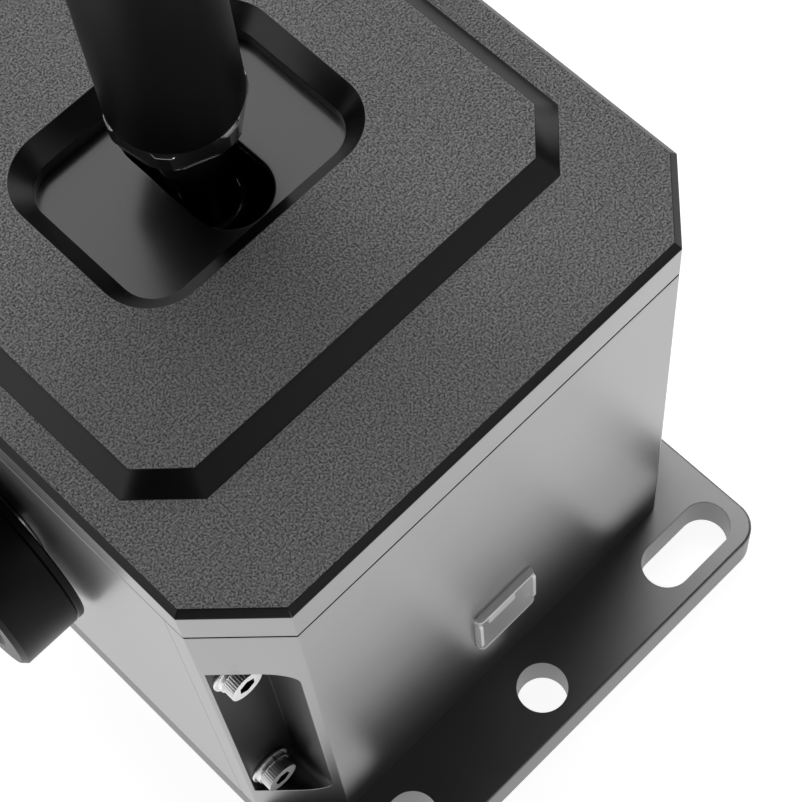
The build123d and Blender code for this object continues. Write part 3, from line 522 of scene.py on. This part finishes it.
def install(piece, nodes, *materials, smooth=32):
    """The finished piece stands for the named solids: it rides on their body and takes the given finishes, and the
    solids are hidden.
    """
    settle(piece)
    if materials:
        piece.data.materials.clear()
        for material in materials:
            piece.data.materials.append(material)
    bpy.ops.object.shade_smooth_by_angle(angle=math.radians(smooth))
    weighted = piece.modifiers.new("flat faces stay flat", "WEIGHTED_NORMAL")
    weighted.keep_sharp = True
    bpy.ops.object.modifier_apply(modifier=weighted.name)
    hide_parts(*nodes)
    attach(piece, body_of_node[nodes[0]])
    print(piece.name, len(piece.data.polygons), "faces, for", ", ".join(nodes))


def paint_faces(piece, index, test):
    """Gives the faces for which the test is true another of the piece's finishes."""
    for face in piece.data.polygons:
        if test(face):
            face.material_index = index


# %% [markdown]
# ## The cover
# The cover is one machined plate: eight-sided, with a bevelled rim and a raised island with sloped sides. The rim
# and the island are two flat outlines at first, each with its corners cut. Bridging them gives one clean skin with
# only the faces that the shape needs. The flat tops carry the textured coat, the bevels and slopes are smooth, and
# the upright sides below the rim are bare like the walls, so the piece has three finishes.

# %% Cover
corner_leg = 10.5 * MM
rim_bevel = 1.0 * MM
island_height = 2.5 * MM
island_end_margin = 19.35 * MM
island_side_margin = 5.85 * MM
island_corner_leg = 8.0 * MM
island_slope_run = 3.2 * MM
recess_size = Vector((45.3, 34.0)) * MM
recess_front_distance = 58.5 * MM
recess_corner_radius = 8.5 * MM
recess_slope = 2.95 * MM
overrun = 5.0 * MM
fine_edge = 0.1 * MM
plain_edge = 0.2 * MM
facing_up = 0.999
upright = 0.1
full_round = 0.999

cover_low, cover_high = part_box("top_cover")
cover_top = cover_high.z - island_height
recess_y = cover_high.y - recess_front_distance
gate_low, gate_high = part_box("gate_plate")


def is_up(face):
    return face.normal.z > facing_up


def recess_cutter():
    """The space of the recess: rounded walls, a 45 degree slope, and a straight drop to the gate plate."""
    half = recess_size / 2
    top = cover_high.z
    cutter = block("recess", (-half.x, recess_y - half.y, top), (half.x, recess_y + half.y, top + overrun))
    bevel(cutter, along("Z"), recess_corner_radius, 16)
    pick(cutter, "FACE", at_height(top))
    bpy.ops.mesh.inset(thickness=recess_slope)
    bpy.ops.transform.translate(value=(0, 0, -recess_slope))
    bpy.ops.mesh.extrude_region_move(TRANSFORM_OT_translate={"value": (0, 0, gate_low.z - top - overrun)})
    rest()
    return cutter


def make_cover():
    lid = block("lid", cover_low, (cover_high.x, cover_high.y, cover_top))
    bevel(lid, along("Z"), corner_leg)
    bevel(lid, at_height(cover_top), rim_bevel)
    pick(lid, "FACE", at_height(cover_top))
    bpy.ops.mesh.delete(type="ONLY_FACE")
    rest()
    half = Vector((cover_high.x - island_side_margin, cover_high.y - island_end_margin))
    bpy.ops.mesh.primitive_plane_add(size=2, location=(0, 0, cover_top))
    island = bpy.context.object
    island.scale = (half.x, half.y, 1)
    settle(island)
    bevel(island, lambda corner: True, island_corner_leg, 1, "VERT")
    pick(island, "FACE", lambda face: True)
    bpy.ops.mesh.inset(thickness=island_slope_run)
    bpy.ops.transform.translate(value=(0, 0, island_height))
    rest()
    cover = join([lid, island], "lid")
    pick(cover, "EDGE", lambda edge: edge.is_boundary)
    bpy.ops.mesh.bridge_edge_loops()
    bpy.ops.mesh.select_all(action="SELECT")
    bpy.ops.mesh.normals_make_consistent(inside=False)
    rest()
    boolean(cover, recess_cutter())
    pocket = block(
        "pocket",
        gate_low - Vector((fine_edge, fine_edge, overrun)),
        gate_high + Vector((fine_edge, fine_edge, 0)),
    )
    boolean(cover, pocket)
    ease(cover, fine_edge)
    return cover


cover = make_cover()
for material in (powder_coat, smooth_coat, anodised):
    cover.data.materials.append(material)
paint_faces(cover, 1, lambda face: not is_up(face))
paint_faces(cover, 2, lambda face: abs(face.normal.z) < upright and face.center.z < cover_top - rim_bevel)
install(cover, ["top_cover"])

# %% [markdown]
# ## The gate plate
# The floor of the recess is a thin plate of its own, with a round-ended slot for the lever. The slot is cut with
# a block whose upright edges are rounded by nearly half its width.

# %% Gate plate
lever_low, lever_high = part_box("lever_shaft")
lever_x = (lever_low.x + lever_high.x) / 2
lever_y = (lever_low.y + lever_high.y) / 2
slot_width = 12.4 * MM
slot_length = 26.4 * MM
slot_front_gap = 1.45 * MM
gate_edge = 0.25 * MM
slot_front = recess_y + recess_size.y / 2 - recess_slope - slot_front_gap

gate = block("gate_floor", gate_low, gate_high)
slot = block(
    "slot",
    (lever_x - slot_width / 2, slot_front - slot_length, gate_low.z - overrun),
    (lever_x + slot_width / 2, slot_front, gate_high.z + overrun),
)
bevel(slot, along("Z"), slot_width / 2 * full_round, 16)
boolean(gate, slot)
ease(gate, gate_edge)
install(gate, ["gate_plate"], gate_finish)

# %% [markdown]
# ## The end plates
# Both end plates are thick blocks with their outer corners cut at 45 degrees and a deep notch in each corner, where
# two cap screws hold the side panels. The far one has the window of the computer socket.

# %% End plates
notch_depth = 10.0 * MM
notch_inner_x = 37.3 * MM
notch_low = 18.6 * MM
notch_high = 76.6 * MM
notch_corner_radius = 4.0 * MM
seam_height = 0.5 * MM
seam_depth = 1.0 * MM
socket_low, socket_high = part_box("usb_socket_shell")
window_gap = 0.15 * MM
window_corner = 1.05 * MM


def end_plate(name, node, way):
    """One end plate; way is 1 for the far one and -1 for the near one."""
    low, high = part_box(node)
    face_y = high.y if way > 0 else low.y
    plate = block(name, low, (high.x, high.y, high.z - seam_height))
    bevel(plate, lambda edge: along("Z")(edge) and abs(edge.verts[0].co.y - face_y) < fine_edge, corner_leg)
    for side in (1, -1):
        ys = sorted([face_y - way * notch_depth, face_y + way * overrun])
        xs = sorted([side * notch_inner_x, side * (high.x + overrun)])
        notch = block("notch", (xs[0], ys[0], notch_low), (xs[1], ys[1], notch_high))
        inner = side * notch_inner_x
        bevel(
            notch,
            lambda edge: along("Y")(edge) and abs(edge.verts[0].co.x - inner) < fine_edge,
            notch_corner_radius,
            10,
        )
        boolean(plate, notch)
    pick(plate, "FACE", lambda face: is_up(face) and face.calc_center_median().z > notch_high)
    bpy.ops.mesh.inset(thickness=seam_depth)
    bpy.ops.mesh.extrude_region_move(TRANSFORM_OT_translate={"value": (0, 0, seam_height)})
    rest()
    return plate


def dress_plate(plate, node, way):
    """Satin walls, with painted shade on the corner notches and on the seam under the cover."""
    low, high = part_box(node)
    face_y = high.y if way > 0 else low.y
    for material in (anodised, painted_shade_metal):
        plate.data.materials.append(material)

    def in_painted_shade(face):
        middle = face.center
        depth = abs(face_y - middle.y)
        at_corner = abs(middle.x) > notch_inner_x - fine_edge
        at_notch_height = notch_low - fine_edge < middle.z < notch_high + fine_edge
        inside = depth < notch_depth + fine_edge and not on_skin(middle, face_y, high.x)
        return at_corner and at_notch_height and inside or middle.z > high.z - seam_height - fine_edge

    # The notch faces and the seam faces take the near-black metal: painted shade.
    paint_faces(plate, 1, in_painted_shade)
    install(plate, [node])


def on_skin(middle, face_y, face_x):
    """True on the plate's outer face, its side faces and the cut corner between them."""
    side = abs(abs(middle.x) - face_x) < fine_edge
    end = abs(middle.y - face_y) < fine_edge
    cut = abs(abs(middle.x) + abs(middle.y) - face_x - abs(face_y) + corner_leg) < fine_edge
    return side or end or cut


front = end_plate("front_wall", "front_plate", 1)
window = block(
    "window",
    (socket_low.x - window_gap, socket_low.y - overrun, socket_low.z - window_gap),
    (socket_high.x + window_gap, socket_high.y + overrun, socket_high.z + window_gap),
)
bevel(window, along("Y"), window_corner, 6)
boolean(front, window)
ease(front, plain_edge)
dress_plate(front, "front_plate", 1)
rear = end_plate("rear_wall", "rear_plate", -1)
ease(rear, plain_edge)
dress_plate(rear, "rear_plate", -1)

# %% [markdown]
# ## The side panels
# Flat panels between the end plates. The right one is bored for the knob's bush, and the left one is countersunk
# for the screw that holds the pivot axle.

# %% Side panels
pivot_low, pivot_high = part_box("pivot_axle")
pivot_z = (pivot_low.z + pivot_high.z) / 2
bush_low, bush_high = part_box("knob_bush")
axle_screw_low, axle_screw_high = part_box("axle_screw")
axle_screw_radius = 2.5 * MM
bush_bore_radius = 9.52 * MM
bush_bore_length = 20 * MM
sink_gap = 0.2 * MM
sink_hole_depth = 12 * MM
sink_cone_depth = 2.5 * MM


def side_panel(name, node):
    low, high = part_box(node)
    return block(name, low, high)


def dress_panel(panel, node):
    """Satin faces, with painted shade on the top edge in the seam."""
    for material in (anodised, painted_shade_metal):
        panel.data.materials.append(material)
    # The top faces in the seam take the near-black metal: painted shade.
    paint_faces(panel, 1, is_up)
    install(panel, [node])


right_panel = side_panel("right_wall", "right_panel")
bush_bore = turned("bore", [(bush_bore_radius, 0), (bush_bore_radius, bush_bore_length)])
boolean(right_panel, aim(bush_bore, (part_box("right_panel")[0].x - overrun, lever_y, pivot_z), (1, 0, 0)))
ease(right_panel, plain_edge)
dress_panel(right_panel, "right_panel")

left_panel = side_panel("left_wall", "left_panel")
sink_radius = (axle_screw_high.z - axle_screw_low.z) / 2 + sink_gap
sink = turned(
    "sink",
    [
        (axle_screw_radius, -sink_hole_depth),
        (axle_screw_radius, -sink_cone_depth),
        (sink_radius, 0),
        (sink_radius, overrun),
    ],
)
boolean(left_panel, aim(sink, (axle_screw_low.x, lever_y, pivot_z), (-1, 0, 0)))
ease(left_panel, plain_edge)
dress_panel(left_panel, "left_panel")

# %% [markdown]
# ## The base plate
# A thick foot that reaches out under both end plates, with slots and a round hole at each end for the rig's bolts,
# and sunk holes underneath for the housing's own screws.

# %% Base plate
foot_corner_radius = 5.0 * MM
foot_rim_round = 0.5 * MM
fixing_radius = 4.25 * MM
fixing_slot_length = 18.0 * MM
fixing_slot_x = 35.0 * MM
fixing_row_y = 80.0 * MM
sunk_radius = 3.7 * MM
sunk_depth = 4.6 * MM
screw_reach = 8.5 * MM


def screw_centres(node, size):
    """The middles of the separate screws in one node, found from the corners that lie near each other."""
    points = [corner.co for corner in frame["nodes"][node].data.vertices]
    centres = []
    for point in points:
        if all((Vector((point.x, point.y)) - centre).length > size for centre in centres):
            centres.append(Vector((point.x, point.y)))
    middles = []
    for centre in centres:
        near = [point for point in points if (Vector((point.x, point.y)) - centre).length <= size]
        xs, ys = [point.x for point in near], [point.y for point in near]
        middles.append(Vector(((min(xs) + max(xs)) / 2, (min(ys) + max(ys)) / 2)))
    return middles


foot = block("foot", *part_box("base_plate"))
foot_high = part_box("base_plate")[1]
bevel(foot, along("Z"), foot_corner_radius, 12)
bevel(foot, at_height(foot_high.z), foot_rim_round, 3)
cutters = []
for way in (1, -1):
    for side in (1, -1):
        x, y = side * fixing_slot_x, way * fixing_row_y
        half = Vector((fixing_slot_length / 2, fixing_radius))
        slot = block("slot", (x - half.x, y - half.y, -overrun), (x + half.x, y + half.y, foot_high.z + overrun))
        bevel(slot, along("Z"), fixing_radius * full_round, 16)
        cutters.append(slot)
    hole = turned("hole", [(fixing_radius, -overrun), (fixing_radius, foot_high.z + overrun)])
    cutters.append(aim(hole, (0, way * fixing_row_y, 0), (0, 0, 1)))
for node in ("tie_bolts", "base_screws", "block_screws"):
    for centre in screw_centres(node, screw_reach):
        sunk = turned("sunk hole", [(sunk_radius, -overrun), (sunk_radius, sunk_depth)], 48)
        cutters.append(aim(sunk, (centre.x, centre.y, 0), (0, 0, 1)))
boolean(foot, join(cutters, "holes"))
ease(foot, plain_edge, angle=40)
install(foot, ["base_plate"], foot_paint)

# %% [markdown]
# ## The lever
# From below: a polished shaft, a thin nut that locks the grip at its height, and a long round grip with a crowned
# top. The nut is a round disc with six flats bisected off it, which leaves six narrow round corners.

# %% Lever
grip_low, grip_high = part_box("grip")
cap_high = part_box("grip_cap")[1]
nut_low, nut_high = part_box("lock_nut")
grip_radius = (grip_high.x - grip_low.x) / 2
shaft_radius = (lever_high.x - lever_low.x) / 2
grip_lower_round = 0.6 * MM
cap_crown = 5.5 * MM
nut_radius = 10.0 * MM
nut_flats = 18.25 * MM
nut_chamfer = 0.45 * MM
nut_turn = 39.0
nut_edge = 0.12 * MM
grip_joint_round = 0.3 * MM


def on_lever(piece):
    return aim(piece, (lever_x, lever_y, 0), (0, 0, 1))


def round_ring(piece, height, radius, segments=6):
    """Rounds the sharp ring of edges at one height."""
    bevel(piece, at_height(height), radius, segments)


shaft = turned("lever_rod", [(shaft_radius, lever_low.z), (shaft_radius, lever_high.z)])
install(on_lever(shaft), ["lever_shaft"], gloss_black)

grip = turned("hand_grip", [(grip_radius, grip_low.z), (grip_radius, grip_high.z)], 128)
round_ring(grip, grip_low.z, grip_lower_round)
round_ring(grip, grip_high.z, grip_joint_round, 3)
install(on_lever(grip), ["grip"], grip_finish)

cap_seat = grip_high.z
cap = turned("grip_crown", [(grip_radius, cap_seat), (grip_radius, cap_high.z)], 128)
round_ring(cap, cap_high.z, cap_crown, 16)
round_ring(cap, cap_seat, grip_joint_round, 3)
install(on_lever(cap), ["grip_cap"], grip_finish)

nut = turned(
    "thin_nut",
    [
        (nut_radius - nut_chamfer, nut_low.z),
        (nut_radius, nut_low.z + nut_chamfer),
        (nut_radius, nut_high.z - nut_chamfer),
        (nut_radius - nut_chamfer, nut_high.z),
    ],
    144,
)
for side in range(6):
    angle = math.radians(nut_turn + 30 + 60 * side)
    outward = Vector((math.cos(angle), math.sin(angle), 0))
    pick(nut, "FACE", lambda face: True)
    bpy.ops.mesh.bisect(plane_co=outward * nut_flats / 2, plane_no=outward, use_fill=True, clear_outer=True)
    rest()
ease(nut, nut_edge)
install(on_lever(nut), ["lock_nut"], nut_steel)

# %% [markdown]
# ## The force knob and its collar
# The knob is turned from one bar: chamfered rims, a dished face and a short index mark. A thin groove runs round its
# rear edge, and its hollow back reaches over the bush and the sleeve to just short of the panel.

# %% Force knob
knob_low, knob_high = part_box("force_knob")
sleeve_low, sleeve_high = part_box("thrust_sleeve")
knob_radius = (knob_high.z - knob_low.z) / 2
knob_chamfer = 0.8 * MM
knob_rear_chamfer = 0.3 * MM
knob_skirt = 2.9 * MM
knob_thickness = knob_high.x - knob_low.x + knob_skirt
knob_hollow_radius = 12.0 * MM
groove_from_rear = 1.1 * MM
groove_width = 0.5 * MM
groove_depth = 0.35 * MM
dish_radius = 16.0 * MM
dish_depth = 1.2 * MM
index_size = Vector((1.2, 3.6, 0.6)) * MM
bush_radius = 9.5 * MM
bush_flange_radius = 10.8 * MM
bush_flange = 1.2 * MM
bush_inner_radius = 8.05 * MM
bush_edge = 0.25 * MM
sleeve_inner_radius = 5.05 * MM
knob_edge = 0.15 * MM
sleeve_radius = (sleeve_high.z - sleeve_low.z) / 2


def on_pivot(piece, x):
    return aim(piece, (x, lever_y, pivot_z), (1, 0, 0))


knob = turned(
    "force_wheel",
    [
        (knob_hollow_radius, knob_skirt),
        (knob_hollow_radius, 0),
        (knob_radius - knob_rear_chamfer, 0),
        (knob_radius, knob_rear_chamfer),
        (knob_radius, groove_from_rear),
        (knob_radius - groove_depth, groove_from_rear + groove_width / 2),
        (knob_radius, groove_from_rear + groove_width),
        (knob_radius, knob_thickness - knob_chamfer),
        (knob_radius - knob_chamfer, knob_thickness),
        (dish_radius + dish_depth, knob_thickness),
        (dish_radius, knob_thickness - dish_depth),
    ],
    160,
)
index_y = (dish_radius + dish_depth + knob_radius - knob_chamfer) / 2
index = block(
    "index",
    (-index_size.x / 2, index_y - index_size.y / 2, knob_thickness - index_size.z),
    (index_size.x / 2, index_y + index_size.y / 2, knob_thickness + overrun),
)
boolean(knob, index)
ease(knob, knob_edge)
install(on_pivot(knob, knob_low.x - knob_skirt), ["force_knob"], knob_black)

sleeve_length = sleeve_high.x - sleeve_low.x
sleeve = turned("collar_sleeve", [(sleeve_radius, 0), (sleeve_radius, sleeve_length)], 96, sleeve_inner_radius)
ease(sleeve, plain_edge)
install(on_pivot(sleeve, sleeve_low.x), ["thrust_sleeve"], bright_steel)

bush_length = bush_high.x - bush_low.x
bush = turned(
    "collar_bush",
    [
        (bush_radius, 0),
        (bush_radius, bush_length - bush_flange),
        (bush_flange_radius, bush_length - bush_flange),
        (bush_flange_radius, bush_length),
    ],
    96,
    bush_inner_radius,
)
ease(bush, bush_edge)
install(on_pivot(bush, bush_low.x), ["knob_bush"], bright_steel)

# %% [markdown]
# ## The cap screws
# Socket cap screws are all alike but for their size: a round head with fine knurling, a hexagonal socket and a
# plain shank. One is modelled for each thread and then copied to its places. The corner screws sit on a split
# spring washer and a flat one.

# %% Cap screws
knurl_depth = 0.07 * MM
knurl_sides = 72
socket_floor = 0.4
# Painted shade inside the hex sockets: where it starts, as a share of the head's height, and how much narrower than
# the socket it is.
painted_socket_shade_from = 0.3
painted_socket_shade_reach = 1.7


def cap_screw(name, radius, head_radius, head_height, socket, length):
    """A cap screw along Z, with its head above zero. Every second face of the head's side is pushed in."""
    screw = turned(
        name, [(radius, -length), (radius, 0), (head_radius, 0), (head_radius, head_height)], knurl_sides
    )
    middle = head_height / 2

    def is_groove(face):
        on_side = abs(face.calc_center_median().z - middle) < middle / 2 and abs(face.normal.z) < upright
        bearing = math.degrees(math.atan2(face.normal.y, face.normal.x))
        return on_side and round(bearing / (360 / knurl_sides) - 0.5) % 2 == 0

    pick(screw, "FACE", is_groove)
    bpy.ops.mesh.inset(thickness=knurl_depth, depth=-knurl_depth, use_individual=True)
    rest()
    boolean(screw, hexagon(socket, head_height * socket_floor, head_height + overrun))
    for material in (screw_steel, black_oxide):
        screw.data.materials.append(material)
    # Painted shade: the faces deep in the hex socket take the black oxide finish.
    paint_faces(
        screw,
        1,
        lambda face: head_height * painted_socket_shade_from < face.center.z < head_height - fine_edge
        and Vector(face.center).xy.length < socket / painted_socket_shade_reach,
    )
    return screw


def washer(name, inner, outer, thickness):
    return turned(name, [(outer, 0), (outer, thickness)], 64, inner)


def spread(master, places, name):
    """Copies a master to each (place, direction) and joins the copies; the master is used up."""
    copies = [aim(copy_of(master), place, direction, turn) for place, direction, turn in places]
    bpy.data.objects.remove(master)
    return join(copies, name)


corner_heights = (70.5 * MM, 24.5 * MM)
corner_x = 42.4 * MM
seat_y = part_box("front_plate")[1].y - notch_depth
flat_washer = 0.5 * MM
spring_washer = 0.8 * MM
corner_screw_sizes = (1.5 * MM, 2.75 * MM, 2.0 * MM, 2.5 * MM, 12.0 * MM)
corner_screw_edge = 0.06 * MM
washer_bore = 1.7 * MM
spring_washer_radius = 3.0 * MM
flat_washer_radius = 3.5 * MM
washer_edge = 0.08 * MM
split_from = 0.8 * MM
split_half_width = 0.25 * MM


def corner_places(offset):
    """Where the eight corner screws start, offset outwards from the notch's seat, each turned a little."""
    places = []
    for index, height in enumerate(corner_heights):
        for side in (1, -1):
            for way in (1, -1):
                turn = 17 * index + 23 * side + 31 * way
                places.append(((side * corner_x, way * (seat_y + offset), height), (0, way, 0), turn))
    return places


corner_screw = cap_screw("corner_screw", *corner_screw_sizes)
ease(corner_screw, corner_screw_edge, 2, 50)
install(
    spread(corner_screw, corner_places(flat_washer + spring_washer), "corner_cap_screws"),
    ["corner_screws"],
)

split = washer("split_washer", washer_bore, spring_washer_radius, spring_washer)
gap = block("gap", (split_from, -split_half_width, -overrun), (overrun, split_half_width, overrun))
boolean(split, gap)
ease(split, washer_edge)
install(spread(split, corner_places(flat_washer), "split_washers"), ["corner_spring_washers"], screw_steel)

flat = washer("plain_washer", washer_bore, flat_washer_radius, flat_washer)
ease(flat, washer_edge)
install(spread(flat, corner_places(0), "plain_washers"), ["corner_flat_washers"], screw_steel)

head_seat = 4.6 * MM
housing_screw_sizes = (2.0 * MM, 3.5 * MM, 4.0 * MM, 3.0 * MM)
housing_screw_edge = 0.08 * MM
for name, node, turn in (
    ("long_cap_screws", "tie_bolts", 12),
    ("foot_cap_screws", "base_screws", 40),
    ("inner_cap_screws", "block_screws", 25),
):
    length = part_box(node)[1].z - head_seat
    master = cap_screw(name, *housing_screw_sizes, length)
    ease(master, housing_screw_edge, 2, 50)
    places = [
        ((centre.x, centre.y, head_seat), (0, 0, -1), turn * index)
        for index, centre in enumerate(screw_centres(node, screw_reach))
    ]
    install(spread(master, places, name), [node], black_oxide)

# %% [markdown]
# ## The springs
# The plungers and the sleeve press on springs whose other end stays still on the housing. Each spring is wound here
# round its own line and rides on the housing; it keeps its wound length in every pose.

# %% Wind the springs
spring_wire_sides = 12
spring_steps_per_turn = 40
return_wire = 0.8 * MM
return_turns = 5.5
damper_wire = 1.0 * MM
damper_turns = 3.5


def wind_spring(name, node, direction, wire, turns):
    """A helical spring as long and as wide as its solid."""
    low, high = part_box(node)
    direction = Vector(direction)
    length = (high - low).dot(direction)
    start = (low + high) / 2 - direction * length / 2
    bpy.ops.mesh.primitive_circle_add(
        vertices=spring_wire_sides,
        radius=wire,
        location=((high.z - low.z) / 2 - wire, 0, wire),
        rotation=(math.pi / 2, 0, 0),
    )
    piece = bpy.context.object
    piece.name = name
    settle(piece)
    winding = piece.modifiers.new("winding", "SCREW")
    winding.angle = turns * math.tau
    winding.screw_offset = length - 2 * wire
    winding.steps = winding.render_steps = round(turns * spring_steps_per_turn)
    bpy.ops.object.modifier_apply(modifier=winding.name)
    bpy.ops.object.mode_set(mode="EDIT")
    bpy.ops.mesh.select_all(action="SELECT")
    bpy.ops.mesh.fill_holes(sides=0)
    bpy.ops.mesh.normals_make_consistent(inside=False)
    settle(piece)
    install(aim(piece, start, direction), [node], spring_steel)
    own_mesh(piece)


wind_spring("far_return_coil", "front_return_spring", (0, 1, 0), return_wire, return_turns)
wind_spring("near_return_coil", "rear_return_spring", (0, 1, 0), return_wire, return_turns)
wind_spring("damper_coil", "damper_spring", (1, 0, 0), damper_wire, damper_turns)

# %% [markdown]
# ## The solids that keep their own shape
# Most inner pieces are right as they are, so each only gets its finish.

# %% Dress the solids
solid_finishes = {
    "lever_hub": machined,
    "axle_spacer": machined,
    "bearing_spacer": machined,
    "pressure_plate": machined,
    "front_spring_block": machined,
    "rear_spring_block": machined,
    "gate_plate_screws": black_oxide,
    "axle_screw": black_oxide,
    "hub_grub_screw": black_oxide,
    "stop_screws": black_oxide,
    "stop_nuts": black_oxide,
    "friction_disc": lining,
    "front_plunger": pale_plastic,
    "rear_plunger": pale_plastic,
    "stop_bumpers": rubber,
    "sensor_lead": rubber,
    "sensor_board": board_green,
    "usb_board": board_green,
    "sensor_chip": black_plastic,
    "lead_plugs": black_plastic,
    "usb_socket_tongue": socket_white,
    "usb_socket_shell": socket_nickel,
}
for node, solid in frame["nodes"].items():
    solid.data.materials.clear()
    solid.data.materials.append(solid_finishes.get(node, bright_steel))
print(len(frame["nodes"]), "solids dressed")
